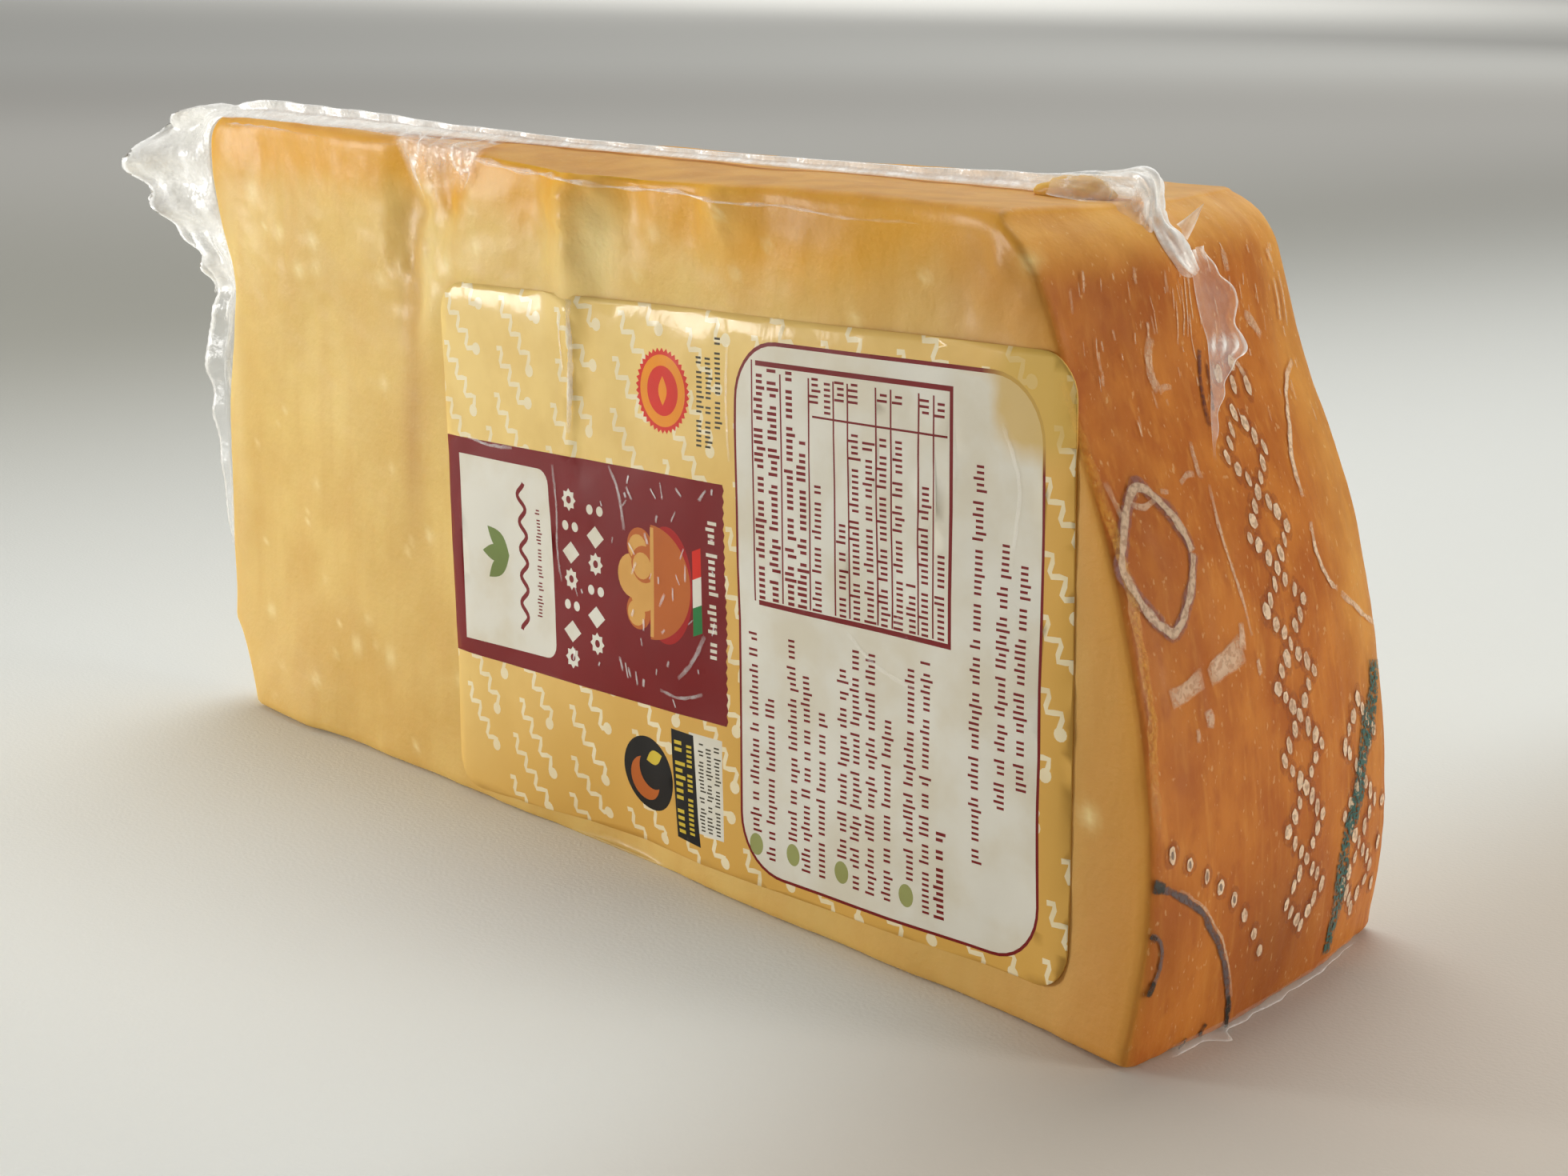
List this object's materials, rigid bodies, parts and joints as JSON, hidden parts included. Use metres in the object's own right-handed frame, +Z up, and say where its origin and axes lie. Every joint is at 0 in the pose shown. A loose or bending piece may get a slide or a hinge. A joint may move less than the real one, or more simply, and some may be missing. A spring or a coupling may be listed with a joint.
{
  "type": "parmesan wedge",
  "caption": "Wedge of hard grating cheese with rind on its top and curved end, in a clinging clear vacuum pack with a printed label and a welded seam.",
  "frame": {"origin": "middle of the pack's footprint box, on the surface that it stands on", "axes": "+X from the thin tip to the side rind, +Y away from the labelled face, +Z up"},
  "size_m": [0.2536, 0.07, 0.1159],
  "materials": {
    "cheese": "pale grainy paste and brown rind under clinging clear film",
    "label": "printed satin label",
    "film": "clear glossy crumpled film"
  },
  "bodies": {
    "root": {"cheese_wedge": "cheese", "label": "label", "film_seam": "film"}
  },
  "joints": []
}
